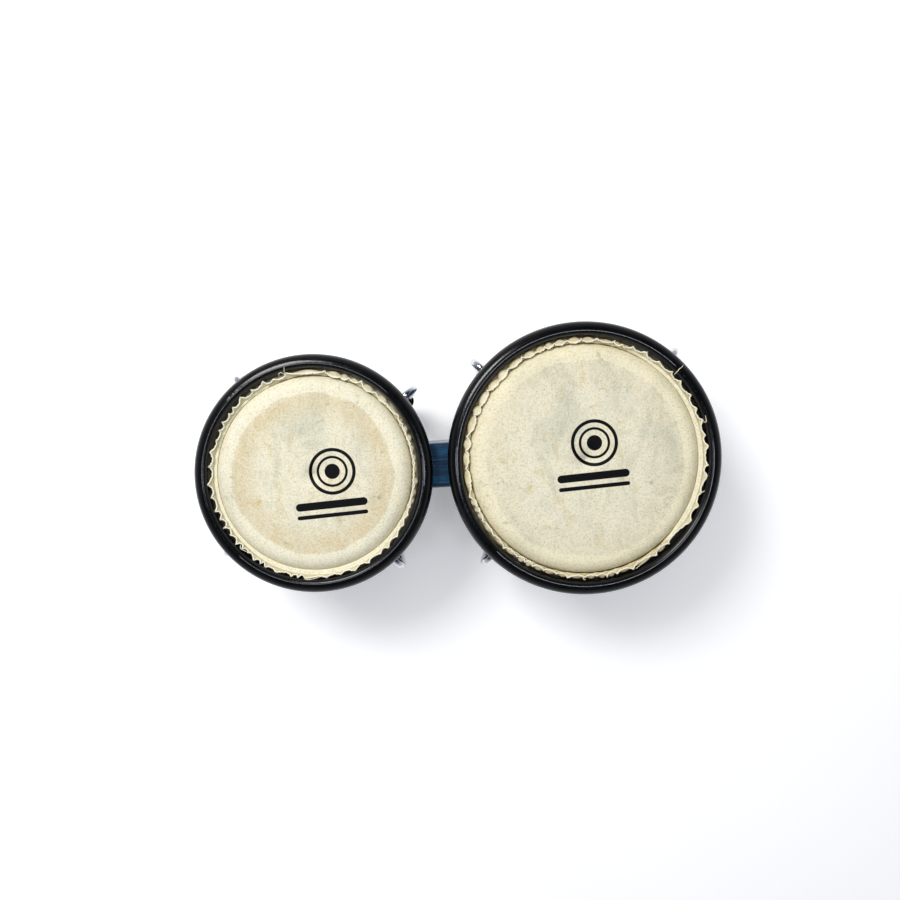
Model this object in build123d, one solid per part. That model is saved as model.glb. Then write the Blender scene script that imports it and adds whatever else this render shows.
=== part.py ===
"""Bongo drums: a small and a large tapered wooden drum, bolted to the two ends of a centre block.

Each head is rawhide lapped round a steel flesh hoop. A black steel rim presses the hoop down, and four
J-hooks pull the rim towards a steel band near the foot of the shell, where a hex nut tunes each hook.

Frame: +Z up along both drums' axes, +X from the small drum to the large one, Z = 0 on the floor.
The origin is under the middle of the overall length. All sizes are in millimetres.
"""
import math
import os
from dataclasses import dataclass

from build123d import *

# ---- Overall sizes ----
SMALL_HEAD_D = 184.0        # 7 1/4 in, across the outside of the bearing edge
LARGE_HEAD_D = 216.0        # 8 1/2 in
CENTRE_DISTANCE = 256.0     # between the two drums' axes
SHELL_HEIGHT = 165.0        # floor to bearing edge

# ---- Shells ----
SHELL_TAPER = 4.0           # degrees that the side leans in towards the foot
EDGE_ROUND = 12.0           # round-over of the bearing edge, outside
EDGE_LAND = 3.0             # wall thickness left inside the round-over
INNER_ROUND = 1.5           # round-over of the bearing edge, inside
FOOT_ROUND = 2.0

# ---- Head: rawhide and flesh hoop ----
SKIN_THICKNESS = 1.2
SKIN_GAP = 0.1              # air between the hide and the wood it lies on
SKIN_SKIRT = 14.0           # how far the hide reaches down the outside of the shell
HOOP_ROD_R = 3.5
HOOP_RUNNING_GAP = 0.5      # between the fixed hide and the hide lapped round the hoop
HOOP_DROP = 15.0            # hoop's centre below the bearing edge
TUCK_TOP_DROP = 4.5         # trimmed edge of the hide below the bearing edge
TUCK_LEAN = 0.35            # how far the trimmed edge stands off the rim's wall

# ---- Rim ----
RIM_SHEET = 3.0
RIM_RISE = 5.0              # crest above the bearing edge
RIM_LEAN = 8.0              # degrees that the inner wall leans out
RIM_BEND_R = 4.0            # tight bend at the crest
RIM_ROLL_R = 9.0            # broad roll from the crest to the outer edge
RIM_ROLL_DROP = 2.5         # straight part below the roll
RIM_SEAT_GAP = 0.3          # between the rim's shoulder and the lapped hide
RIM_SEAT_BITE = 4.7         # how far the shoulder reaches in over the lapped hoop
RIM_SKIRT = 12.0            # depth of the skirt below the shoulder
RIM_SKIRT_GAP = 0.5         # between the skirt and the lapped hide

# ---- Tension hooks, their plates, nuts and washers (M8) ----
HOOKS_PER_DRUM = 4
SMALL_HOOK_ANGLE = 38.0     # first hook, from +X
LARGE_HOOK_ANGLE = 45.0
HOOK_ROD_R = 4.0
HOOK_BEND_R = 10.5          # centre line of the J
HOOK_LEAN = 12.0            # degrees that the rod leans in towards the foot
THREAD_R = 3.5              # mean radius of the threaded end
THREAD_LENGTH = 46.0
HOOK_TOP_GAP = 3.0          # below the rim's skirt
HOOK_POINT = 8.0            # straight end inside the plate
HOOK_POINT_GAP = 0.7        # between the point and the plate
PLATE_SHEET = 3.0
PLATE_WIDTH = 25.0
PLATE_FOOT_R = 9.5
PLATE_HOLE_GAP = 0.1        # above and below the bend of the hook that passes through
PLATE_TOP_GAP = 2.5         # below the rim's rolled edge
NUT_ACROSS_FLATS = 13.0
NUT_HEIGHT = 8.0
NUT_CHAMFER = 0.8
NUT_THREAD_GAP = 0.5        # radial: the leaning rod shifts in the nut as the rim moves
WASHER_R = 8.5
WASHER_THICKNESS = 1.6
WASHER_HOLE_GAP = 0.3       # on the rod
NUT_SEAT_GAP = 0.05
HOOK_TAIL = 16.0            # rod below the ear's nut

# ---- Foot band and its ears ----
BAND_Z = 30.0
BAND_HEIGHT = 24.0
BAND_SHEET = 2.5
BAND_GAP = 0.02             # on the shell
EAR_SHEET = 4.0
EAR_DROP = 4.5              # of the hole below the band's top edge, as the ear follows the rod's lean
EAR_LEG_SHEET = 3.0
EAR_LEG_HEIGHT = 20.0
EAR_WIDTH = 17.0
EAR_HOLE_GAP = 0.6          # on the rod

# ---- Centre block and its bolts (M8) ----
BLOCK_WIDTH = 44.0
BLOCK_HEIGHT = 82.0
BLOCK_BAND_GAP = 2.0        # above the foot bands
BLOCK_ROUND = 3.5
BLOCK_GAP = 0.05            # on each shell
BOLT_SPREAD = 40.0          # between the two bolts
BOLT_R = 4.0
BOLT_HOLE_GAP = 0.3         # on the bolt, in wood and washers
BOLT_HEAD_HEIGHT = 5.3
BOLT_TAIL = 4.0             # thread past the nut
BLOCK_NUT_HEIGHT = 6.5
BLOCK_WASHER_R = 12.0
BLOCK_WASHER_THICKNESS = 2.0
SPOT_FACE_R = 13.5
SPOT_FACE_DEPTH = 1.5       # into the wall at the bolt's axis

# ---- Heights and offsets that follow from these ----
SHELL_WALL = EDGE_ROUND + EDGE_LAND
BOLT_HOLE_R = BOLT_R + BOLT_HOLE_GAP
HOOP_Z = SHELL_HEIGHT - HOOP_DROP
LAP_R = HOOP_ROD_R + SKIN_THICKNESS
HOOP_OFFSET = SKIN_GAP + SKIN_THICKNESS + HOOP_RUNNING_GAP + LAP_R
SHOULDER_Z = HOOP_Z + LAP_R + RIM_SEAT_GAP
SKIRT_FOOT_Z = SHOULDER_Z - RIM_SKIRT
CREST_Z = SHELL_HEIGHT + RIM_RISE
RIM_SKIRT_OFFSET = HOOP_OFFSET + LAP_R + RIM_SKIRT_GAP
RIM_WALL_OFFSET = HOOP_OFFSET + LAP_R - RIM_SEAT_BITE
RIM_WALL_RISE = CREST_Z - RIM_BEND_R * (1 - math.sin(math.radians(RIM_LEAN))) - SHOULDER_Z
RIM_CREST_OFFSET = (RIM_WALL_OFFSET + RIM_WALL_RISE * math.tan(math.radians(RIM_LEAN))
                    + RIM_BEND_R * math.cos(math.radians(RIM_LEAN)))
ROLL_Z = CREST_Z - RIM_ROLL_R
ROLL_FOOT_Z = ROLL_Z - RIM_ROLL_DROP - RIM_SHEET / 2
PLATE_OFFSET = RIM_SKIRT_OFFSET + RIM_SHEET
HOOK_OFFSET = PLATE_OFFSET - HOOK_POINT_GAP - HOOK_ROD_R + 2 * HOOK_BEND_R
HOOK_BEND_Z = SKIRT_FOOT_Z - HOOK_TOP_GAP - HOOK_ROD_R - HOOK_BEND_R
PLATE_TOP_Z = ROLL_FOOT_Z - PLATE_TOP_GAP
EAR_TOP_Z = BAND_Z + BAND_HEIGHT
EAR_HOLE_Z = EAR_TOP_Z - EAR_SHEET - EAR_DROP
NUT_DROP = WASHER_THICKNESS + NUT_SEAT_GAP + NUT_HEIGHT
BLOCK_Z = EAR_TOP_Z + BLOCK_BAND_GAP
BOLT_HEIGHTS = {
    "lower": BLOCK_Z + (BLOCK_HEIGHT - BOLT_SPREAD) / 2,
    "upper": BLOCK_Z + (BLOCK_HEIGHT + BOLT_SPREAD) / 2,
}
SMALL_X = (-CENTRE_DISTANCE + SMALL_HEAD_D / 2 - LARGE_HEAD_D / 2) / 2
LARGE_X = SMALL_X + CENTRE_DISTANCE
FAR = 400.0                 # longer than anything that a cutting body has to pass


@dataclass
class Drum:
    """One of the two drums: its name, place and radius, and which way the centre block lies."""

    name: str
    x: float
    radius: float
    first_hook: float
    block_side: int

    def outer(self, z):
        """Outer radius of the shell's side at a height: a cone that runs into the bearing edge's round."""
        lean = math.radians(SHELL_TAPER)
        at_edge = self.radius - EDGE_ROUND + EDGE_ROUND / math.cos(lean)
        return at_edge - (SHELL_HEIGHT - EDGE_ROUND - z) * math.tan(lean)

    def inner(self, z):
        """Inner radius of the shell at a height."""
        return self.outer(z) - SHELL_WALL

    def hook_angles(self):
        """The angles of the tension hooks round the drum, in degrees from +X."""
        return [self.first_hook + n * 360 / HOOKS_PER_DRUM for n in range(HOOKS_PER_DRUM)]

    def on_rod(self, z):
        """Radius and height of the point at a height on the axis of a hook's straight rod."""
        lean = math.radians(HOOK_LEAN)
        top_z = HOOK_BEND_Z - HOOK_BEND_R * math.sin(lean)
        top_r = self.radius + HOOK_OFFSET - HOOK_BEND_R * (1 - math.cos(lean))
        return top_r - (top_z - z) * math.tan(lean), z

    def along_rod(self, shape, angle, shift=0.0):
        """A shape built up from Z = 0, stood on a hook's rod at a shift up it from the ear's underside."""
        r, z = self.on_rod(EAR_HOLE_Z)
        return self.at_hook(Pos(r, 0, z) * Rot(0, HOOK_LEAN, 0) * Pos(0, 0, shift) * shape, angle)

    def at_hook(self, shape, angle):
        """A shape built on the +X side of a drum at the origin, turned to a hook's angle and put in place."""
        return Pos(self.x, 0, 0) * Rot(0, 0, angle) * shape


DRUMS = (
    Drum("macho", SMALL_X, SMALL_HEAD_D / 2, SMALL_HOOK_ANGLE, 1),
    Drum("hembra", LARGE_X, LARGE_HEAD_D / 2, LARGE_HOOK_ANGLE, -1),
)


def turned(profile):
    """A solid of revolution about Z from a closed profile drawn in the XZ plane, X being the radius."""
    return revolve(make_face(profile), Axis.Z)


def polygon(*points):
    """A closed outline in the XZ plane from (radius, height) points."""
    return Polyline(*[(r, 0, z) for r, z in points], close=True)


def arc(centre, radius, start, sweep):
    """An arc in the XZ plane about a (radius, height) centre, angles in degrees from +X towards +Z."""
    r, z = centre
    ends = [
        (r + radius * math.cos(math.radians(a)), 0, z + radius * math.sin(math.radians(a)))
        for a in (start, start + sweep / 2, start + sweep)
    ]
    return ThreePointArc(*ends)


def joined(*edges):
    """A closed outline through lines and arcs, with a straight line over each gap between them."""
    outline = []
    for here, after in zip(edges, edges[1:] + edges[:1]):
        outline.append(here)
        if (here @ 1 - after @ 0).length > 1e-6:
            outline.append(Line(here @ 1, after @ 0))
    return Wire(outline)


def line(start, end):
    """A straight edge in the XZ plane between (radius, height) points."""
    return Line((start[0], 0, start[1]), (end[0], 0, end[1]))


def along_x(shape):
    """A shape built up from Z = 0 along +Z, laid along +X."""
    return Rot(0, 90, 0) * shape


def tube(outer_r, inner_r, height):
    """A round tube or washer standing on Z = 0."""
    base = (Align.CENTER, Align.CENTER, Align.MIN)
    return Cylinder(outer_r, height, align=base) - Cylinder(inner_r, height, align=base)


def hexagon(height, chamfer_size):
    """A hex nut's or bolt head's body standing on Z = 0, its corners turned down at both ends."""
    across_corners = NUT_ACROSS_FLATS / math.cos(math.pi / 6)
    body = extrude(RegularPolygon(across_corners / 2, 6), height)
    corner = across_corners / 2
    flat = corner - chamfer_size * math.sqrt(3)
    blank = turned(polygon((0, 0), (flat, 0), (corner, chamfer_size), (corner, height - chamfer_size),
                           (flat, height), (0, height)))
    return body & blank


def spot_face_x(drum, z):
    """Where the flat seat for a block bolt's washer lies, on the inside of a shell."""
    return drum.x + drum.block_side * (drum.inner(z) + SPOT_FACE_DEPTH)


def rounded(face, corner, radius):
    """A face in the XZ plane with the corner nearest a (radius, height) point rounded off."""
    nearest = min(face.vertices(), key=lambda v: math.hypot(v.X - corner[0], v.Z - corner[1]))
    return face.fillet_2d(radius, [nearest])


def shell(drum):
    """A coopered and turned wooden shell, open at the foot, with a rounded bearing edge and bolt seats."""
    foot = (drum.outer(0), 0)
    inner_foot = (drum.inner(0), 0)
    inner_top = (drum.inner(SHELL_HEIGHT), SHELL_HEIGHT)
    edge = arc((drum.radius - EDGE_ROUND, SHELL_HEIGHT - EDGE_ROUND), EDGE_ROUND, 90, -90 - SHELL_TAPER)
    land = line(inner_top, (drum.radius - EDGE_ROUND, SHELL_HEIGHT))
    wall = make_face(joined(land, edge, line(foot, inner_foot))).face()
    wall = rounded(wall, inner_top, INNER_ROUND)
    wall = rounded(wall, foot, FOOT_ROUND)
    wall = rounded(wall, inner_foot, FOOT_ROUND)
    wood = Pos(drum.x, 0, 0) * revolve(wall, Axis.Z)
    for z in BOLT_HEIGHTS.values():
        seat = along_x(Cylinder(SPOT_FACE_R, drum.inner(z), align=(Align.CENTER, Align.CENTER, Align.MAX)))
        if drum.block_side < 0:
            seat = Rot(0, 0, 180) * seat
        wood -= Pos(spot_face_x(drum, z), 0, z) * seat
        wood -= Pos((SMALL_X + LARGE_X) / 2, 0, z) * along_x(Cylinder(BOLT_HOLE_R, CENTRE_DISTANCE))
    return wood


def skin(drum):
    """The stretched hide's flat playing surface."""
    disc = Cylinder(drum.radius - EDGE_ROUND, SKIN_THICKNESS, align=(Align.CENTER, Align.CENTER, Align.MIN))
    return Pos(drum.x, 0, SHELL_HEIGHT + SKIN_GAP) * disc


def skin_edge(drum):
    """The hide where it turns down over the bearing edge and lies on the side of the shell."""
    under_r = EDGE_ROUND + SKIN_GAP
    over_r = under_r + SKIN_THICKNESS
    bend = (drum.radius - EDGE_ROUND, SHELL_HEIGHT - EDGE_ROUND)
    inner, outer = drum.radius + SKIN_GAP, drum.radius + SKIN_GAP + SKIN_THICKNESS
    foot_z = SHELL_HEIGHT - SKIN_SKIRT
    outline = joined(
        arc(bend, under_r, 90, -90),
        line((inner, bend[1]), (inner, foot_z)),
        line((outer, foot_z), (outer, bend[1])),
        arc(bend, over_r, 0, 90),
    )
    return Pos(drum.x, 0, 0) * turned(outline)


def flesh_hoop(drum):
    """The round steel rod hoop that the hide is lapped on."""
    return Pos(drum.x, 0, HOOP_Z) * Torus(drum.radius + HOOP_OFFSET, HOOP_ROD_R)


def skin_tuck(drum):
    """The hide lapped round the flesh hoop, and its trimmed edge standing up inside the rim's wall."""
    lap = Torus(drum.radius + HOOP_OFFSET, LAP_R) - Torus(drum.radius + HOOP_OFFSET, HOOP_ROD_R)
    edge_outer = drum.radius + RIM_WALL_OFFSET - TUCK_LEAN
    edge_top = SHELL_HEIGHT - TUCK_TOP_DROP - HOOP_Z
    edge = turned(polygon((edge_outer - SKIN_THICKNESS, HOOP_ROD_R + SKIN_THICKNESS / 2),
                          (edge_outer, HOOP_ROD_R + SKIN_THICKNESS / 2),
                          (edge_outer, edge_top), (edge_outer - SKIN_THICKNESS, edge_top)))
    return Pos(drum.x, 0, HOOP_Z) * (lap + edge)


def rim(drum):
    """The pressed and rolled steel rim: skirt, shoulder, leaning wall, tight crest and broad outer roll."""
    wall = drum.radius + RIM_WALL_OFFSET
    skirt = drum.radius + RIM_SKIRT_OFFSET
    bend = (drum.radius + RIM_CREST_OFFSET, CREST_Z - RIM_BEND_R)
    roll = (bend[0], ROLL_Z)
    inside = arc(bend, RIM_BEND_R, 180 - RIM_LEAN, RIM_LEAN - 90)
    outside = arc(bend, RIM_BEND_R - RIM_SHEET, 90, 90 - RIM_LEAN)
    rise = (outside @ 1).Z - SHOULDER_Z - RIM_SHEET
    wall_back = (outside @ 1).X - rise * math.tan(math.radians(RIM_LEAN))
    outline = joined(
        line((skirt, SKIRT_FOOT_Z), (skirt, SHOULDER_Z)),
        line((skirt, SHOULDER_Z), (wall, SHOULDER_Z)),
        inside,
        arc(roll, RIM_ROLL_R, 90, -90),
        arc((roll[0] + RIM_ROLL_R - RIM_SHEET / 2, ROLL_Z - RIM_ROLL_DROP), RIM_SHEET / 2, 0, -180),
        arc(roll, RIM_ROLL_R - RIM_SHEET, 0, 90),
        outside,
        line((wall_back, SHOULDER_Z + RIM_SHEET), (skirt + RIM_SHEET, SHOULDER_Z + RIM_SHEET)),
        line((skirt + RIM_SHEET, SHOULDER_Z), (skirt + RIM_SHEET, SKIRT_FOOT_Z)),
    )
    return Pos(drum.x, 0, 0) * turned(outline)


def hook_line(drum):
    """The centre line of a hook on the +X side of a drum at the origin, from its thread to its point."""
    bend = (drum.radius + HOOK_OFFSET - HOOK_BEND_R, HOOK_BEND_Z)
    inside = bend[0] - HOOK_BEND_R
    foot_z = EAR_HOLE_Z + (THREAD_LENGTH - HOOK_TAIL - NUT_DROP) * math.cos(math.radians(HOOK_LEAN))
    top_z = HOOK_BEND_Z - HOOK_BEND_R * math.sin(math.radians(HOOK_LEAN))
    return Wire([
        line(drum.on_rod(foot_z), drum.on_rod(top_z)),
        arc(bend, HOOK_BEND_R, -HOOK_LEAN, 180 + HOOK_LEAN),
        line((inside, HOOK_BEND_Z), (inside, HOOK_BEND_Z - HOOK_POINT)),
    ])


def hook(drum, angle):
    """A J-hook bent from round rod, with a threaded end."""
    path = hook_line(drum)
    section = Plane(path @ 0, z_dir=path % 0) * Circle(HOOK_ROD_R)
    thread = Cylinder(THREAD_R, THREAD_LENGTH, align=(Align.CENTER, Align.CENTER, Align.MIN))
    threaded = drum.along_rod(thread, angle, -NUT_DROP - HOOK_TAIL)
    return drum.at_hook(sweep(section, path), angle) + threaded


def side_plate(drum, angle):
    """A teardrop plate formed to the rim's skirt and welded to it, with the hook's hole at its foot."""
    inner = drum.radius + PLATE_OFFSET
    bend_x = drum.radius + HOOK_OFFSET - HOOK_BEND_R
    under = math.sqrt((HOOK_BEND_R - HOOK_ROD_R) ** 2 - (bend_x - inner) ** 2)
    over = math.sqrt((HOOK_BEND_R + HOOK_ROD_R) ** 2 - (bend_x - inner - PLATE_SHEET) ** 2)
    hole_z = HOOK_BEND_Z + (under + over) / 2
    hole = Pos(0, hole_z) * Circle((over - under) / 2 + PLATE_HOLE_GAP)
    shoulder_z = SKIRT_FOOT_Z + 2
    outline = Polyline((-PLATE_WIDTH / 2, PLATE_TOP_Z), (PLATE_WIDTH / 2, PLATE_TOP_Z),
                       (PLATE_WIDTH / 2, shoulder_z), (PLATE_FOOT_R, hole_z),
                       (-PLATE_FOOT_R, hole_z), (-PLATE_WIDTH / 2, shoulder_z), close=True)
    face = make_face(outline) + Pos(0, hole_z) * Circle(PLATE_FOOT_R) - hole
    blank = extrude(Plane.YZ * face, inner + 2 * PLATE_SHEET)
    ring = Pos(0, 0, HOOK_BEND_Z - FAR / 2) * tube(inner + PLATE_SHEET, inner, FAR)
    return drum.at_hook(blank & ring, angle)


def washer(drum, angle):
    """The flat washer between an ear and its tuning nut."""
    ring = tube(WASHER_R, HOOK_ROD_R + WASHER_HOLE_GAP, WASHER_THICKNESS)
    return drum.along_rod(ring, angle, -WASHER_THICKNESS)


def tuning_nut(drum, angle):
    """The hex nut that tunes one hook."""
    body = hexagon(NUT_HEIGHT, NUT_CHAMFER) - Cylinder(THREAD_R + NUT_THREAD_GAP, FAR)
    return drum.along_rod(body, angle, -NUT_DROP)


def foot_band(drum):
    """The rolled steel band that sits on the taper of the shell and anchors the hooks."""
    low, high = drum.outer(BAND_Z) + BAND_GAP, drum.outer(EAR_TOP_Z) + BAND_GAP
    outline = polygon((low, BAND_Z), (low + BAND_SHEET, BAND_Z),
                      (high + BAND_SHEET, EAR_TOP_Z), (high, EAR_TOP_Z))
    return Pos(drum.x, 0, 0) * turned(outline)


def band_ear(drum, angle):
    """A bent steel ear: a leg welded to the band, and a shelf square to the hook's rod with its hole."""
    leg_z = EAR_TOP_Z - EAR_LEG_HEIGHT
    back = BAND_GAP + BAND_SHEET
    low, high = drum.outer(leg_z) + back, drum.outer(EAR_TOP_Z) + back
    reach = drum.on_rod(EAR_HOLE_Z)[0] - low + EAR_SHEET
    outline = Pos(-reach / 2, 0) * Rectangle(reach, EAR_WIDTH) + Circle(EAR_WIDTH / 2)
    shelf = drum.along_rod(extrude(outline, EAR_SHEET), angle)
    leg = turned(polygon((low, leg_z), (low + EAR_LEG_SHEET, leg_z),
                         (high + EAR_LEG_SHEET, EAR_TOP_Z), (high, EAR_TOP_Z)))
    slab = Pos(drum.radius, 0, leg_z + EAR_LEG_HEIGHT / 2) * Box(drum.radius, EAR_WIDTH, EAR_LEG_HEIGHT)
    upper = Box(FAR, FAR, FAR, align=(Align.CENTER, Align.CENTER, Align.MIN))
    above = drum.along_rod(upper, angle, EAR_SHEET)
    band = turned(polygon((0, leg_z), (low, leg_z), (high, EAR_TOP_Z), (high, FAR), (0, FAR)))
    ear = drum.at_hook(leg & slab, angle) - above + (shelf - Pos(drum.x, 0, 0) * band)
    return ear - drum.along_rod(Cylinder(HOOK_ROD_R + EAR_HOLE_GAP, 4 * EAR_SHEET), angle)


def centre_block():
    """The wooden block between the drums, its ends hollowed to the shells' taper."""
    middle = Pos((SMALL_X + LARGE_X) / 2, 0, BLOCK_Z + BLOCK_HEIGHT / 2)
    block = middle * Box(CENTRE_DISTANCE, BLOCK_WIDTH, BLOCK_HEIGHT)
    block = fillet(block.edges().filter_by(Axis.X), BLOCK_ROUND)
    for drum in DRUMS:
        foot, top = drum.outer(0) + BLOCK_GAP, drum.outer(SHELL_HEIGHT) + BLOCK_GAP
        cone = turned(polygon((0, 0), (foot, 0), (top, SHELL_HEIGHT), (0, SHELL_HEIGHT)))
        block -= Pos(drum.x, 0, 0) * cone
    for z in BOLT_HEIGHTS.values():
        block -= Pos((SMALL_X + LARGE_X) / 2, 0, z) * along_x(Cylinder(BOLT_HOLE_R, CENTRE_DISTANCE))
    return block


def block_bolt(z):
    """A hex bolt from inside the small drum, through the block, into the large one."""
    small, large = DRUMS
    seat = spot_face_x(small, z) - BLOCK_WASHER_THICKNESS
    end = spot_face_x(large, z) + BLOCK_WASHER_THICKNESS + BLOCK_NUT_HEIGHT + BOLT_TAIL
    head = Pos(0, 0, -BOLT_HEAD_HEIGHT) * hexagon(BOLT_HEAD_HEIGHT, NUT_CHAMFER)
    shank = Cylinder(BOLT_R, end - seat, align=(Align.CENTER, Align.CENTER, Align.MIN))
    return Pos(seat, 0, z) * along_x(head + shank)


def block_nut(z):
    """The nut of a block bolt, inside the large drum."""
    seat = spot_face_x(DRUMS[1], z) + BLOCK_WASHER_THICKNESS
    body = hexagon(BLOCK_NUT_HEIGHT, NUT_CHAMFER) - Cylinder(BOLT_R + NUT_THREAD_GAP, FAR)
    return Pos(seat, 0, z) * along_x(body)


def block_washer(drum, z):
    """The broad washer under a block bolt's head or nut, on its flat seat."""
    ring = along_x(tube(BLOCK_WASHER_R, BOLT_HOLE_R, BLOCK_WASHER_THICKNESS))
    inward = 0 if drum.block_side < 0 else -BLOCK_WASHER_THICKNESS
    return Pos(spot_face_x(drum, z) + inward, 0, z) * ring


def pieces():
    """Every node's name with its solid, or its solids where like pieces share a node."""
    yield "centre_block", centre_block()
    for place, z in BOLT_HEIGHTS.items():
        yield f"{place}_block_bolt", block_bolt(z)
        yield f"{place}_block_nut", block_nut(z)
    for drum in DRUMS:
        angles = drum.hook_angles()
        yield f"{drum.name}_shell", shell(drum)
        yield f"{drum.name}_skin", skin(drum)
        yield f"{drum.name}_skin_edge", skin_edge(drum)
        yield f"{drum.name}_flesh_hoop", flesh_hoop(drum)
        yield f"{drum.name}_skin_tuck", skin_tuck(drum)
        yield f"{drum.name}_rim", rim(drum)
        yield f"{drum.name}_foot_band", foot_band(drum)
        yield f"{drum.name}_side_plates", Compound([side_plate(drum, a) for a in angles])
        yield f"{drum.name}_band_ears", Compound([band_ear(drum, a) for a in angles])
        yield f"{drum.name}_tuning_washers", Compound([washer(drum, a) for a in angles])
        yield f"{drum.name}_block_washers", Compound([block_washer(drum, z) for z in BOLT_HEIGHTS.values()])
        for number, angle in enumerate(angles, start=1):
            yield f"{drum.name}_hook_{number}", hook(drum, angle)
            yield f"{drum.name}_tuning_nut_{number}", tuning_nut(drum, angle)


os.makedirs("parts", exist_ok=True)
for node, shape in pieces():
    export_step(shape, f"parts/{node}.step")
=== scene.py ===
import math
import random

import bpy
import numpy as np
from mathutils import Matrix, Vector


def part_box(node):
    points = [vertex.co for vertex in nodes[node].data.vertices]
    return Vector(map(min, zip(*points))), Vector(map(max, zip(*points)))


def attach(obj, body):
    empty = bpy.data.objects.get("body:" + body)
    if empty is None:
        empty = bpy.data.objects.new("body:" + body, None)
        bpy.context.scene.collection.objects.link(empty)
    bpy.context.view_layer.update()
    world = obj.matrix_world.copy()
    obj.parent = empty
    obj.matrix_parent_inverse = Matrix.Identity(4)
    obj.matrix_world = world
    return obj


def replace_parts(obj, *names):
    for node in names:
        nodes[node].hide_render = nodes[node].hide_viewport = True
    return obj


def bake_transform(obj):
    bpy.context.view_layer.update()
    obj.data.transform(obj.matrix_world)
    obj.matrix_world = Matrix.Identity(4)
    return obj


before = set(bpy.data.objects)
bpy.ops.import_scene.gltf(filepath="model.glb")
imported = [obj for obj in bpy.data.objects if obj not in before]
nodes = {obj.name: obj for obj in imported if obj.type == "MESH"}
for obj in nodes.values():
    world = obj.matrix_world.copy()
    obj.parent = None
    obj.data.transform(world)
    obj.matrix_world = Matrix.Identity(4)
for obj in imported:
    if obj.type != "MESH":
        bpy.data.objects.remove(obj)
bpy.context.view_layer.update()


# ---- Shells ----
# Two tapered shells, coopered from hardwood staves, turned, stained blue and lacquered. The grain runs up the
# staves, and the glue lines between them show as thin dark lines under the gloss.

def middle(node, axis):
    """The middle of a CAD node's box along one axis."""
    low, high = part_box(node)
    return (low[axis] + high[axis]) / 2


def linear(hex_colour):
    """An sRGB hex colour as the linear RGBA that a shader takes."""
    channels = [int(hex_colour[n:n + 2], 16) / 255 for n in (0, 2, 4)]
    return [c / 12.92 if c <= 0.04045 else ((c + 0.055) / 1.055) ** 2.4 for c in channels] + [1.0]


def add(tree, kind, inputs=None, **settings):
    """Adds a node with its settings, and fills its inputs with values or links."""
    node = tree.nodes.new(kind)
    for name, value in settings.items():
        setattr(node, name, value)
    for socket, value in (inputs or {}).items():
        target = node.inputs[socket]
        if isinstance(value, bpy.types.NodeSocket):
            tree.links.new(value, target)
        else:
            target.default_value = value
    return node


def blank(name):
    """An empty node material: its tree and its output."""
    material = bpy.data.materials.new(name)
    material.use_nodes = True
    material.node_tree.nodes.clear()
    return material, material.node_tree, material.node_tree.nodes.new("ShaderNodeOutputMaterial")


def ramp(tree, factor, *stops):
    """A colour ramp through (position, hex colour) stops."""
    node = add(tree, "ShaderNodeValToRGB", {"Fac": factor})
    while len(node.color_ramp.elements) < len(stops):
        node.color_ramp.elements.new(0.5)
    for element, (position, colour) in zip(node.color_ramp.elements, stops):
        element.position = position
        element.color = linear(colour)
    return node.outputs["Color"]


def paint(node_name, material):
    """Gives a CAD node one material."""
    mesh = nodes[node_name].data
    mesh.materials.clear()
    mesh.materials.append(material)


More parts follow.
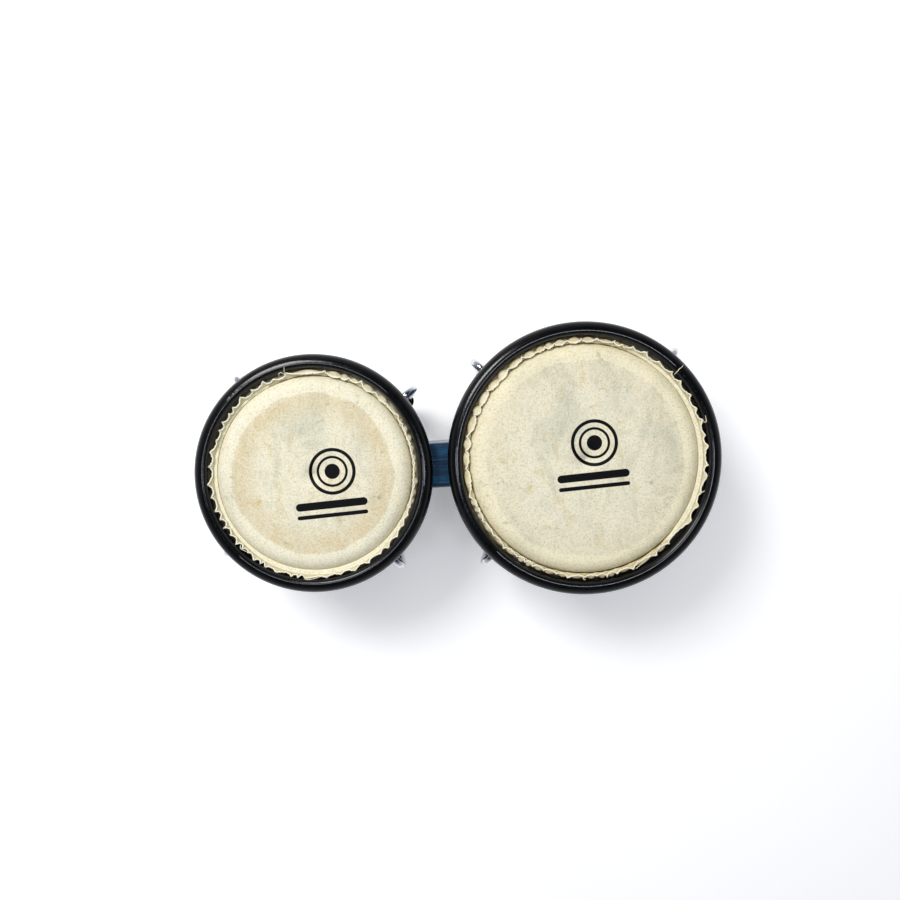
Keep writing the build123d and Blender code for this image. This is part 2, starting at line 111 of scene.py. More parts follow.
# Blue spirit stain in open-pored hardwood under gloss lacquer: dark pores, a slow change of tone from stave to
# stave, and a clear wet shine. The pores are drawn about 1 mm wide, twice the real size, so that they show.
def stained_wood(name, centre_x, along, staves):
    material, tree, out = blank(name)
    place = add(tree, "ShaderNodeTexCoord").outputs["Object"]
    place = add(tree, "ShaderNodeMapping", {"Vector": place, "Location": (-centre_x, 0, 0)}).outputs["Vector"]
    stretch = (1, 1, 0.055) if along == "Z" else (0.055, 1, 1)
    grain = add(tree, "ShaderNodeVectorMath", {0: place, 1: stretch}, operation="MULTIPLY").outputs["Vector"]
    pores = add(tree, "ShaderNodeTexNoise", {"Vector": grain, "Scale": 900, "Detail": 3, "Roughness": 0.6})
    figure = add(tree, "ShaderNodeTexNoise", {"Vector": grain, "Scale": 95, "Detail": 4, "Distortion": 0.6})
    cloud = add(tree, "ShaderNodeTexNoise", {"Vector": place, "Scale": 28, "Detail": 2})
    tone = add(tree, "ShaderNodeMath", {0: figure.outputs["Fac"], 1: cloud.outputs["Fac"]}, operation="ADD")
    tone = add(tree, "ShaderNodeMath", {0: tone.outputs[0], 1: 0.5}, operation="MULTIPLY").outputs[0]
    height = pores.outputs["Fac"]
    if staves:
        axes = add(tree, "ShaderNodeSeparateXYZ", {"Vector": place})
        angle = add(tree, "ShaderNodeMath", {0: axes.outputs["Y"], 1: axes.outputs["X"]}, operation="ARCTAN2")
        turn = add(tree, "ShaderNodeMath", {0: angle.outputs[0], 1: staves / math.tau, 2: 100.37},
                   operation="MULTIPLY_ADD").outputs[0]
        stave = add(tree, "ShaderNodeMath", {0: turn}, operation="FLOOR").outputs[0]
        own = add(tree, "ShaderNodeTexWhiteNoise", {"W": stave}, noise_dimensions="1D").outputs["Value"]
        own = add(tree, "ShaderNodeMath", {0: own, 1: 0.34, 2: -0.17}, operation="MULTIPLY_ADD").outputs[0]
        tone = add(tree, "ShaderNodeMath", {0: tone, 1: own}, operation="ADD").outputs[0]
        side = add(tree, "ShaderNodeMath", {0: turn, 1: 1.0}, operation="PINGPONG").outputs[0]
        joint = add(tree, "ShaderNodeMapRange", {"Value": side, "From Max": 0.014, "To Min": 0.0, "To Max": 1.0},
                    interpolation_type="SMOOTHSTEP").outputs["Result"]
        tone = add(tree, "ShaderNodeMath", {0: tone, 1: joint}, operation="MULTIPLY").outputs[0]
        height = add(tree, "ShaderNodeMath", {0: height, 1: joint}, operation="MINIMUM").outputs[0]
    colour = ramp(tree, tone, (0.0, "01080F"), (0.36, "02233E"), (0.50, "064468"), (0.62, "0F6F97"),
                  (0.78, "2C86AC"))
    dark = ramp(tree, pores.outputs["Fac"], (0.40, "35506A"), (0.56, "FFFFFF"))
    colour = add(tree, "ShaderNodeMix", {"Factor": 0.75, 6: colour, 7: dark}, data_type="RGBA",
                 blend_type="MULTIPLY").outputs[2]
    bump = add(tree, "ShaderNodeBump", {"Height": height, "Strength": 0.5, "Distance": 0.0004})
    surface = add(tree, "ShaderNodeBsdfPrincipled", {
        "Base Color": colour, "Roughness": 0.38, "Specular IOR Level": 0.25, "Coat Weight": 0.45,
        "Coat Roughness": 0.08, "Normal": bump.outputs["Normal"]})
    tree.links.new(surface.outputs["BSDF"], out.inputs["Surface"])
    return material


DRUMS = ("macho", "hembra")
centre = {d: middle(d + "_shell", 0) for d in DRUMS}
edge_radius = {d: (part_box(d + "_shell")[1][0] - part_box(d + "_shell")[0][0]) / 2 for d in DRUMS}
for drum, staves in (("macho", 18), ("hembra", 22)):
    paint(drum + "_shell", stained_wood(drum + "_stained_staves", centre[drum], "Z", staves))


# ---- Centre block ----
# A solid hardwood block with its ends hollowed to the shells, stained and lacquered like them. Its grain runs
# from drum to drum.

paint("centre_block", stained_wood("stained_block", middle("centre_block", 0), "X", 0))


# ---- Block bolts ----
# Two M8 hex bolts with broad washers and nuts, zinc plated, drawn up inside the drums. The thread that stands
# past each nut is cut with a 1.25 mm pitch.

# Bright zinc on steel: a slightly grey, cloudy metal that blurs what it reflects.
zinc, tree, out = blank("bright_zinc_plate")
place = add(tree, "ShaderNodeTexCoord").outputs["Object"]
cloud = add(tree, "ShaderNodeTexNoise", {"Vector": place, "Scale": 240, "Detail": 3})
colour = ramp(tree, cloud.outputs["Fac"], (0.3, "9A9EA3"), (0.7, "C3C6C9"))
rough = add(tree, "ShaderNodeMapRange", {"Value": cloud.outputs["Fac"], "To Min": 0.26, "To Max": 0.42})
surface = add(tree, "ShaderNodeBsdfPrincipled", {
    "Base Color": colour, "Metallic": 1.0, "Roughness": rough.outputs["Result"]})
tree.links.new(surface.outputs["BSDF"], out.inputs["Surface"])
for node in ("upper_block_bolt", "lower_block_bolt", "upper_block_nut", "lower_block_nut",
             "macho_block_washers", "hembra_block_washers"):
    paint(node, zinc)


def group(name, **sizes):
    """A geometry tree with a Geometry input, a named input for each size, and a Geometry output."""
    tree = bpy.data.node_groups.new(name, "GeometryNodeTree")
    tree.interface.new_socket("Geometry", in_out="INPUT", socket_type="NodeSocketGeometry")
    for label, value in sizes.items():
        kind = "NodeSocketInt" if isinstance(value, int) else "NodeSocketFloat"
        tree.interface.new_socket(label.replace("_", " "), in_out="INPUT", socket_type=kind).default_value = value
    tree.interface.new_socket("Geometry", in_out="OUTPUT", socket_type="NodeSocketGeometry")
    return tree, tree.nodes.new("NodeGroupInput").outputs


def close(tree, shape, material):
    """Ends a geometry tree in real, smooth-shaded geometry of one material."""
    shape = add(tree, "GeometryNodeRealizeInstances", {"Geometry": shape}).outputs["Geometry"]
    shape = add(tree, "GeometryNodeSetShadeSmooth", {"Geometry": shape}).outputs["Geometry"]
    shape = add(tree, "GeometryNodeSetMaterial", {"Geometry": shape, "Material": material}).outputs["Geometry"]
    add(tree, "NodeGroupOutput", {"Geometry": shape})
    return tree


def polyline(name, *runs):
    """A mesh of open runs of points, for a geometry tree to follow."""
    points = [p for run in runs for p in run]
    links, start = [], 0
    for run in runs:
        links += [(start + n, start + n + 1) for n in range(len(run) - 1)]
        start += len(run)
    mesh = bpy.data.meshes.new(name)
    mesh.from_pydata(points, links, [])
    return mesh


def grown(name, mesh, tree, **sizes):
    """The plain mesh object that a geometry tree makes from a mesh at these sizes."""
    seed = bpy.data.objects.new(name + "_seed", mesh)
    bpy.context.scene.collection.objects.link(seed)
    modifier = seed.modifiers.new("grow", "NODES")
    modifier.node_group = tree
    sockets = {s.name: s.identifier for s in tree.interface.items_tree if s.in_out == "INPUT"}
    for label, value in sizes.items():
        modifier[sockets[label.replace("_", " ")]] = value
    seed.update_tag()
    whole = seed.evaluated_get(bpy.context.evaluated_depsgraph_get())
    result = bpy.data.meshes.new_from_object(whole)
    result.name = name
    bpy.data.objects.remove(seed)
    piece = bpy.data.objects.new(name, result)
    bpy.context.scene.collection.objects.link(piece)
    return piece


def helix(tree, inputs):
    """The raised ridge of a screw thread, winding up +Z from the origin."""
    turns = add(tree, "ShaderNodeMath", {0: inputs["Thread length"], 1: inputs["Pitch"]}, operation="DIVIDE")
    line = add(tree, "GeometryNodeCurveSpiral", {
        "Resolution": 24, "Rotations": turns.outputs[0], "Start Radius": inputs["Core radius"],
        "End Radius": inputs["Core radius"], "Height": inputs["Thread length"]})
    profile = add(tree, "GeometryNodeCurvePrimitiveCircle", {"Resolution": 4, "Radius": inputs["Ridge"]})
    return add(tree, "GeometryNodeCurveToMesh", {
        "Curve": line.outputs["Curve"], "Profile Curve": profile.outputs["Curve"], "Fill Caps": True})


tree, inputs = group("bolt_thread", Core_radius=0.0038, Ridge=0.0006, Pitch=0.00125, Thread_length=0.0035)
bolt_thread = close(tree, helix(tree, inputs).outputs["Mesh"], zinc)
for place in ("upper", "lower"):
    bolt_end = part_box(place + "_block_bolt")[1][0]
    nut_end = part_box(place + "_block_nut")[1][0]
    thread = grown(place + "_bolt_thread", polyline("bolt_thread_seed", [(0, 0, 0)]), bolt_thread,
                   Thread_length=bolt_end - nut_end - 0.0007)
    turn = Matrix.Rotation(math.pi / 2, 4, "Y")
    thread.data.transform(Matrix.Translation((nut_end, 0, middle(place + "_block_bolt", 2))) @ turn)
    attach(thread, "root")


# ---- Foot bands and ears ----
# A rolled steel band sits on the taper near each foot. Four bent ears are welded to it to anchor the hooks, and
# the whole is powder coated in semi-gloss black.

# Semi-gloss black powder coat: even and near neutral, with the fine orange peel, about 1.3 mm across, of powder
# that melted and flowed.
coat, tree, out = blank("semi_gloss_black_powder_coat")
place = add(tree, "ShaderNodeTexCoord").outputs["Object"]
peel = add(tree, "ShaderNodeTexNoise", {"Vector": place, "Scale": 750, "Detail": 1.5})
wear = add(tree, "ShaderNodeTexNoise", {"Vector": place, "Scale": 60, "Detail": 5, "Roughness": 0.65})
colour = ramp(tree, wear.outputs["Fac"], (0.35, "060607"), (0.65, "0D0E10"))
rough = add(tree, "ShaderNodeMapRange", {
    "Value": wear.outputs["Fac"], "From Min": 0.3, "From Max": 0.7, "To Min": 0.14, "To Max": 0.21})
bump = add(tree, "ShaderNodeBump", {"Height": peel.outputs["Fac"], "Strength": 0.12, "Distance": 0.0004})
surface = add(tree, "ShaderNodeBsdfPrincipled", {
    "Base Color": colour, "Roughness": rough.outputs["Result"], "Specular IOR Level": 0.3,
    "Normal": bump.outputs["Normal"]})
tree.links.new(surface.outputs["BSDF"], out.inputs["Surface"])
for drum in DRUMS:
    paint(drum + "_foot_band", coat)
    paint(drum + "_band_ears", coat)

tree, inputs = group("weld_bead", Ripple=0.0011, Bead=0.0016)
path = add(tree, "GeometryNodeMeshToCurve", {"Mesh": inputs["Geometry"]})
path = add(tree, "GeometryNodeResampleCurve", {"Curve": path.outputs["Curve"], "Length": inputs["Ripple"]},
           mode="LENGTH")
drop = add(tree, "GeometryNodeMeshIcoSphere", {"Radius": inputs["Bead"], "Subdivisions": 2})
beads = add(tree, "GeometryNodeInstanceOnPoints", {
    "Points": path.outputs["Curve"], "Instance": drop.outputs["Mesh"]})
weld_bead = close(tree, beads.outputs["Instances"], coat)


def hook_angles(drum):
    """The angles of a drum's hooks about its axis, read from where its hooks stand."""
    angles = []
    for number in range(1, 5):
        low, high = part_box(f"{drum}_tuning_nut_{number}")
        angles.append(math.atan2((low[1] + high[1]) / 2, (low[0] + high[0]) / 2 - centre[drum]))
    return angles


def around(drum, angle, radius, across, z):
    """A point at a radius and height on a drum, moved sideways from a hook's angle."""
    away = angle + across / radius
    return (centre[drum] + radius * math.cos(away), radius * math.sin(away), z)


EAR_SIDE = 0.0087            # from an ear's middle to the bead along its side
WELD_FOOT = 0.0055           # from the band's lower edge to the foot of a bead
WELD_LENGTH = 0.017
WELD_TAPER = 0.0013          # the band's own taper over the length of a bead
for drum in DRUMS:
    band_low, band_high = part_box(drum + "_foot_band")
    band_radius = (band_high[0] - band_low[0]) / 2
    weld_z = band_low[2] + WELD_FOOT
    runs = []
    for angle in hook_angles(drum):
        for side in (-EAR_SIDE, EAR_SIDE):
            runs.append([around(drum, angle, band_radius - WELD_TAPER * (1 - t), side, weld_z + WELD_LENGTH * t)
                         for t in (0.0, 0.5, 1.0)])
    weld = grown(drum + "_ear_welds", polyline(drum + "_ear_weld_lines", *runs), weld_bead)
    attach(weld, "root")


# ---- Rawhide heads ----
# Cow rawhide soaked, lapped round a steel hoop and dried tight over the bearing edge. The flat part is mottled
# cream, the turned edge is paler and yellower, and a plain printed mark sits a little off the middle.

# Rawhide: slightly translucent, with a dry grain about 2 mm across, grey-green and tan clouds, and a tan ring
# where the wet hide was pulled over the edge of the shell.
def rawhide(drum, mark, tan_ring, turned_edge, rotate):
    material, tree, out = blank(drum + "_rawhide")
    place = add(tree, "ShaderNodeTexCoord").outputs["Object"]
    place = add(tree, "ShaderNodeMapping", {"Vector": place, "Location": (-centre[drum], 0, 0)}).outputs["Vector"]
    warped = add(tree, "ShaderNodeMapping", {"Vector": place, "Rotation": (0, 0, rotate), "Scale": (1, 0.62, 1)})
    warped = warped.outputs["Vector"]
    cloud = add(tree, "ShaderNodeTexNoise", {"Vector": warped, "Scale": 22, "Detail": 6, "Roughness": 0.62,
                                             "Distortion": 0.5})
    streak = add(tree, "ShaderNodeTexNoise", {"Vector": warped, "Scale": 60, "Detail": 5, "Roughness": 0.7,
                                              "Distortion": 1.2})
    grain = add(tree, "ShaderNodeTexNoise", {"Vector": place, "Scale": 560, "Detail": 3, "Roughness": 0.7})
    colour = ramp(tree, cloud.outputs["Fac"], (0.30, "C3C4B2"), (0.42, "D9D6C2"), (0.53, "E7E2CD"),
                  (0.70, "ECE6CF"))
    tan = ramp(tree, streak.outputs["Fac"], (0.34, "E6DCC0"), (0.48, "FFFFFF"), (0.68, "DFE2DA"))
    colour = add(tree, "ShaderNodeMix", {6: colour, 7: tan, "Factor": 0.6}, data_type="RGBA",
                 blend_type="MULTIPLY").outputs[2]
    far = add(tree, "ShaderNodeVectorMath", {0: place, 1: (1, 1, 0)}, operation="MULTIPLY").outputs["Vector"]
    far = add(tree, "ShaderNodeVectorMath", {0: far}, operation="LENGTH").outputs["Value"]
    wander = add(tree, "ShaderNodeMath", {0: cloud.outputs["Fac"], 1: 0.010, 2: -0.005}, operation="MULTIPLY_ADD")
    far = add(tree, "ShaderNodeMath", {0: far, 1: wander.outputs[0]}, operation="ADD").outputs[0]
    radius = edge_radius[drum]
    edge = add(tree, "ShaderNodeMapRange", {
        "Value": far, "From Min": radius - 0.0165, "From Max": radius - 0.0145, "To Max": 0.55},
        interpolation_type="SMOOTHSTEP").outputs["Result"]
    colour = add(tree, "ShaderNodeMix", {"Factor": edge, 6: colour, 7: linear(turned_edge)},
                 data_type="RGBA").outputs[2]
    ring_in = add(tree, "ShaderNodeMapRange", {
        "Value": far, "From Min": radius - 0.044, "From Max": radius - 0.022},
        interpolation_type="SMOOTHSTEP").outputs["Result"]
    ring_out = add(tree, "ShaderNodeMapRange", {
        "Value": far, "From Min": radius - 0.0175, "From Max": radius - 0.0150,
        "To Min": tan_ring, "To Max": 0.0}).outputs["Result"]
    ring = add(tree, "ShaderNodeMath", {0: ring_in, 1: ring_out}, operation="MULTIPLY").outputs[0]
    patch = add(tree, "ShaderNodeMapRange", {"Value": streak.outputs["Fac"], "From Min": 0.34, "From Max": 0.54})
    ring = add(tree, "ShaderNodeMath", {0: ring, 1: patch.outputs["Result"]}, operation="MULTIPLY").outputs[0]
    colour = add(tree, "ShaderNodeMix", {"Factor": ring, 6: colour, 7: linear("D6C8A6")},
                 data_type="RGBA").outputs[2]
    stain = add(tree, "ShaderNodeTexNoise", {"Vector": place, "Scale": 34, "Detail": 5, "Roughness": 0.75})
    stain = ramp(tree, stain.outputs["Fac"], (0.30, "B9BEAE"), (0.39, "FFFFFF"), (0.64, "FFFFFF"), (0.74, "F1E2BE"))
    fine = ramp(tree, grain.outputs["Fac"], (0.34, "DDD8C6"), (0.52, "FFFFFF"), (0.7, "FFFDF4"))
    for layer in (stain, fine):
        colour = add(tree, "ShaderNodeMix", {6: colour, 7: layer, "Factor": 0.8}, data_type="RGBA",
                     blend_type="MULTIPLY").outputs[2]
    colour = printed_mark(tree, place, colour, mark)
    height = add(tree, "ShaderNodeMath", {0: grain.outputs["Fac"], 1: streak.outputs["Fac"]}, operation="ADD")
    bump = add(tree, "ShaderNodeBump", {"Height": height.outputs[0], "Strength": 0.22, "Distance": 0.0004})
    surface = add(tree, "ShaderNodeBsdfPrincipled", {
        "Base Color": colour, "Roughness": 0.55, "Subsurface Weight": 0.08, "Subsurface Scale": 0.0015,
        "Subsurface Radius": (1.0, 0.8, 0.5), "Specular IOR Level": 0.12, "Normal": bump.outputs["Normal"]})
    tree.links.new(surface.outputs["BSDF"], out.inputs["Surface"])
    return material


# The mark is screen printed in matt black: a disc in two plain rings over a thick and a thin bar.
def printed_mark(tree, place, colour, at):
    local = add(tree, "ShaderNodeMapping", {"Vector": place, "Location": at, "Rotation": (0, 0, MARK_TURN)},
                vector_type="TEXTURE").outputs["Vector"]
    axes = add(tree, "ShaderNodeSeparateXYZ", {"Vector": local})
    ink = None

    def printed(distance, half_width):
        nonlocal ink
        stroke = add(tree, "ShaderNodeMapRange", {
            "Value": distance, "From Min": half_width + 0.00012, "From Max": half_width - 0.00012})
        stroke = stroke.outputs["Result"]
        if ink is not None:
            stroke = add(tree, "ShaderNodeMath", {0: ink, 1: stroke}, operation="MAXIMUM").outputs[0]
        ink = stroke

    def away(axis, middle):
        off = add(tree, "ShaderNodeMath", {0: axes.outputs[axis], 1: -middle}, operation="ADD").outputs[0]
        return add(tree, "ShaderNodeMath", {0: off}, operation="ABSOLUTE").outputs[0]

    here = add(tree, "ShaderNodeCombineXYZ", {"X": away("X", 0.004), "Y": away("Y", 0.0125)}).outputs["Vector"]
    far = add(tree, "ShaderNodeVectorMath", {0: here}, operation="LENGTH").outputs["Value"]
    for radius, half_width in ((0.0205, 0.0016), (0.0135, 0.0012), (0.0, 0.0072)):
        off = add(tree, "ShaderNodeMath", {0: far, 1: -radius}, operation="ADD").outputs[0]
        printed(add(tree, "ShaderNodeMath", {0: off}, operation="ABSOLUTE").outputs[0], half_width)
    for y, half_length, half_width in ((-0.0185, 0.0340, 0.0037), (-0.0285, 0.0335, 0.0019)):
        past = add(tree, "ShaderNodeMath", {0: away("X", 0.0), 1: half_width - half_length}, operation="ADD")
        past = past.outputs[0]
        past = add(tree, "ShaderNodeMath", {0: past, 1: 0.0}, operation="MAXIMUM").outputs[0]
        past = add(tree, "ShaderNodeCombineXYZ", {"X": past, "Y": away("Y", y)}).outputs["Vector"]
        printed(add(tree, "ShaderNodeVectorMath", {0: past}, operation="LENGTH").outputs["Value"], half_width)
    return add(tree, "ShaderNodeMix", {"Factor": ink, 6: colour, 7: linear("06060A")}, data_type="RGBA").outputs[2]


def ring_faces(count, wide):
    """The faces of a closed ring of count loops, each a closed loop of wide points."""
    a = np.arange(count)[:, None] * wide
    b = (np.arange(count)[:, None] + 1) % count * wide
    p = np.arange(wide)[None, :]
    q = (p + 1) % wide
    return np.stack([a + p, b + p, b + q, a + q], -1).reshape(-1, 4)


def build(name, spots, faces, material):
    """A smooth-shaded mesh object of one material."""
    mesh = bpy.data.meshes.new(name)
    mesh.from_pydata([tuple(s) for s in spots], [], [tuple(f) for f in faces])
    mesh.polygons.foreach_set("use_smooth", [True] * len(mesh.polygons))
    mesh.materials.append(material)
    mesh.update()
    piece = bpy.data.objects.new(name, mesh)
    bpy.context.scene.collection.objects.link(piece)
    return piece


def walled(line, thickness):
    """The closed loop round an open line of (radius, z) points, half the thickness to each side."""
    line = np.array(line, float)
    along = np.gradient(line, axis=0)
    along /= np.linalg.norm(along, axis=1)[:, None]
    side = np.stack([-along[:, 1], along[:, 0]], 1) * (thickness / 2)
    return np.concatenate([line + side, (line - side)[::-1]])


def bow(centre_r, centre_z, radius, start, end, steps):
    """Points of an arc in (radius, z), angles in degrees."""
    return [(centre_r + radius * math.cos(math.radians(a)), centre_z + radius * math.sin(math.radians(a)))
            for a in np.linspace(start, end, steps)]


def hoop(drum):
    """A flesh hoop's radius and height, and how far from its middle the lapped hide lies."""
    low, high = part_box(drum + "_flesh_hoop")
    rod = (high[2] - low[2]) / 2
    return (high[0] - low[0]) / 2 - rod, middle(drum + "_flesh_hoop", 2), rod + HIDE / 2


HIDE = 0.0012                # thickness of the stretched hide
EDGE_ROUND = 0.012           # of the bearing edge under it
HEAD_TURNS = 1080            # loops round a head
MARK_TURN = 0.052
MARKS = {"macho": (0.0149, -0.0111, 0), "hembra": (0.0061, 0.0021, 0)}
hides = {}
for drum, tan_ring, turned_edge, rotate in (("macho", 0.9, "F0EBD4", 0.9), ("hembra", 0.25, "EFE6C4", 0.35)):
    hides[drum] = rawhide(drum, MARKS[drum], tan_ring, turned_edge, rotate)
    hoop_radius, hoop_z, lap = hoop(drum)
    bend_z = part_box(drum + "_shell")[1][2] - EDGE_ROUND
    top_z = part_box(drum + "_skin")[1][2] - HIDE / 2
    flat = edge_radius[drum] - EDGE_ROUND
    line = [(flat * t, top_z) for t in (0.0005, 0.2, 0.4, 0.6, 0.75, 0.88, 0.96)]
    line += bow(flat, bend_z, top_z - bend_z, 90, 0, 16)
    inner = flat + top_z - bend_z
    line += [(inner + 0.0001, bend_z - 0.0012), (inner + 0.0006, bend_z - 0.0024)]
    line += bow(hoop_radius, hoop_z, lap, 186, 360, 16)
    loop = walled(line, HIDE)[::-1]
    turns = np.arange(HEAD_TURNS)[:, None] / HEAD_TURNS * math.tau
    spots = np.stack([centre[drum] + loop[:, 0] * np.cos(turns), loop[:, 0] * np.sin(turns),
                      loop[:, 1] + 0 * turns], -1)
    head = build(drum + "_head", spots.reshape(-1, 3), ring_faces(HEAD_TURNS, len(loop)), hides[drum])
    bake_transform(head)
    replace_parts(head, drum + "_skin", drum + "_skin_edge")


# ---- Trimmed edges of the heads ----
# The spare hide past the hoop stands up inside the rim. It was trimmed wet and dried into uneven flutes, tight
# on one side and loose on the other, and its cut edge is the palest part.

# The same rawhide, thinner and more translucent: cream where it leaves the head, tan down its flank (partly its own
# tone, partly painted shade), and palest along the line that the knife cut.
def cut_hide(name, flank, crease_shade):
    material, tree, out = blank(name)
    place = add(tree, "ShaderNodeTexCoord").outputs["Object"]
    rise = add(tree, "ShaderNodeAttribute", attribute_name="rise").outputs["Fac"]
    cream = add(tree, "ShaderNodeAttribute", attribute_name="cream").outputs["Fac"]
    grain = add(tree, "ShaderNodeTexNoise", {"Vector": place, "Scale": 620, "Detail": 4, "Roughness": 0.7})
    cloud = add(tree, "ShaderNodeTexNoise", {"Vector": place, "Scale": 70, "Detail": 3})
    # Tan down the flank, partly the hide's own tone and partly painted shade; cream where the sheet leaves the
    # head.
    body = ramp(tree, cloud.outputs["Fac"], *zip((0.32, 0.5, 0.68), flank))
    body = add(tree, "ShaderNodeMix", {"Factor": cream, 6: body, 7: linear("F2EBD2")}, data_type="RGBA").outputs[2]
    fine = ramp(tree, grain.outputs["Fac"], (0.35, "D8D0B8"), (0.6, "FFFFFF"))
    body = add(tree, "ShaderNodeMix", {6: body, 7: fine, "Factor": 0.6}, data_type="RGBA",
               blend_type="MULTIPLY").outputs[2]
    # A painted shade line darkens the hide along the valley fold, where the sheet creases.
    crease = add(tree, "ShaderNodeAttribute", attribute_name="crease").outputs["Fac"]
    crease = add(tree, "ShaderNodeMath", {0: crease, 1: 0.9}, operation="MULTIPLY").outputs[0]
    body = add(tree, "ShaderNodeMix", {"Factor": crease, 6: body, 7: linear(crease_shade)}, data_type="RGBA").outputs[2]
    cut = add(tree, "ShaderNodeMapRange", {"Value": rise, "From Min": 0.86, "From Max": 0.99}).outputs["Result"]
    colour = add(tree, "ShaderNodeMix", {"Factor": cut, 6: body, 7: linear("FBF4D8")}, data_type="RGBA").outputs[2]
    bump = add(tree, "ShaderNodeBump", {"Height": grain.outputs["Fac"], "Strength": 0.3, "Distance": 0.0003})
    surface = add(tree, "ShaderNodeBsdfPrincipled", {
        "Base Color": colour, "Roughness": 0.42, "Subsurface Weight": 0.4, "Subsurface Scale": 0.0025,
        "Subsurface Radius": (1.0, 0.8, 0.5), "Normal": bump.outputs["Normal"]})
    tree.links.new(surface.outputs["BSDF"], out.inputs["Surface"])
    return material


def round_table(rows, angle):
    """A value that changes evenly with the angle between the rows (degrees, value) of a table."""
    return np.interp(np.degrees(angle) % 360, [r[0] for r in rows], [r[1] for r in rows], period=360)


def flutes(angle, points, seed):
    """How near each angle is to a point of the edge (1) or a scallop's middle (0), and that point's reach."""
    pick = random.Random(seed)
    at = np.radians([p[0] for p in points] + [points[0][0] + 360])
    reach = np.array([p[1] for p in points] + [points[0][1]])
    skew = np.array([pick.uniform(0.72, 1.35) for _ in points])
    sharp = np.array([pick.uniform(0.25, 0.9) for _ in points])
    turn = np.where(angle < at[0], angle + math.tau, angle)
    wave = np.clip(np.searchsorted(at, turn, side="right") - 1, 0, len(points) - 1)
    share = np.clip((turn - at[wave]) / (at[wave + 1] - at[wave]), 0, 1) ** skew[wave]
    soft = 0.5 + 0.5 * np.cos(share * math.tau)
    keen = 1 - np.sin(share * math.pi) ** 0.75
    crest = soft + (keen - soft) * sharp[wave]
    near = np.where(share < 0.5, reach[wave], reach[wave + 1])
    depth = np.array([pick.uniform(0.72, 1.0) for _ in points])[wave]
    sway = np.sin(share * math.tau) * (at[wave + 1] - at[wave]) / math.tau
    return 1 - depth * (1 - crest), near, sway


# Each table goes round a drum in degrees from +X, in millimetres past the edge of the shell. POINTS are the
# points of the cut edge, SCALLOPS is how far in it hangs between them, and INWARD is 1 where it curls in over the
# head and 0 where it stands away.
POINTS = {
    "macho": [(3, 5.2), (9, 3.8), (14, 4.4), (20, 3.9), (26, 5.2), (31, 6.0), (40, 4.6), (49, 5.2), (59, 7.2),
              (66, 5.4), (71, 4.6), (80, 5.8), (102, 6.4), (109, 4.4), (115, 6.8), (123, 6.2), (130, 7.6),
              (137, 5.8), (141, 4.8), (147, 6.2), (152, 5.8), (158, 4.4), (165, 7.6), (173, 7.2), (183, 8.6),
              (190, 7.2), (198, 8.0), (203, 6.8), (208, 7.2), (213, 5.6),
              (219, 8.2), (223, 6.0), (227, 5.2), (232, 9.2), (236, 7.8), (239, 9.0), (246, 8.8), (254, 7.8),
              (258, 7.2), (262, 9.4), (274, 7.4), (282, 6.8), (290, 9.0), (299, 7.4), (307, 6.6), (312, 9.2),
              (320, 7.2), (327, 6.6), (333, 5.4), (338, 5.0), (344, 4.4), (350, 4.6), (356, 3.4)],
    "hembra": [(3, 8.2), (8, 6.8), (15, 8.4), (21, 6.2), (28, 8.2), (36, 7.2), (42, 7.8), (50, 6.0), (57, 7.0),
               (64, 6.4), (69, 4.6), (73, 6.0), (82, 5.2), (89, 4.8), (96, 4.8), (102, 4.4), (107, 4.2),
               (112, 2.2), (119, 5.0), (127, 3.4), (134, 0.6), (142, 5.2), (150, 2.2), (155, 5.2), (166, 5.4),
               (173, 5.2), (182, 5.2), (195, 6.6), (201, 3.6), (204, 3.2), (208, 4.6), (216, 4.2), (225, 6.4),
               (232, 4.4), (237, 5.0), (241, 4.8), (247, 5.0), (253, 3.8), (259, 6.6), (267, 4.4), (273, 3.4),
               (278, 6.2), (283, 5.4), (291, 6.6), (304, 6.0), (312, 5.6), (327, 9.2), (334, 8.6), (341, 6.4),
               (349, 9.4), (354, 8.0)]}
SCALLOPS = {
    "macho": [(0, 1.6), (30, 2.2), (45, 0.8), (75, 0.4), (90, 1.6), (104, 1.2), (120, 2.2), (180, 3.2), (225, 3.0),
              (240, 4.4), (290, 4.6), (320, 3.4), (345, 2.0)],
    "hembra": [(0, 4.2), (60, 3.0), (75, 1.6), (90, 0.4), (120, -0.8), (140, -1.2), (175, -0.4), (188, -0.2),
               (200, 1.1), (240, 1.0), (285, 1.2), (312, 0.8), (325, 4.2)]}
INWARD = {
    "macho": [(0, 1), (96, 1), (112, 0.2), (170, 0.1), (190, 0), (300, 0), (322, 0.3), (345, 1)],
    "hembra": [(0, 0), (50, 0), (74, 0.9), (90, 1), (285, 1), (310, 0.9), (320, 0)]}
# Flank colours of each trimmed edge: partly the hide's own tan and partly painted shade of the steep flank.
FLANK = {"macho": ("C9C0A0", "D8D0B3", "E6DFC6"), "hembra": ("CCBE94", "DACEAA", "E8DFC4")}
# The colour of the painted shade in the valley fold of each trimmed edge.
PAINTED_CREASE_SHADE = {"macho": "B3A684", "hembra": "97875A"}

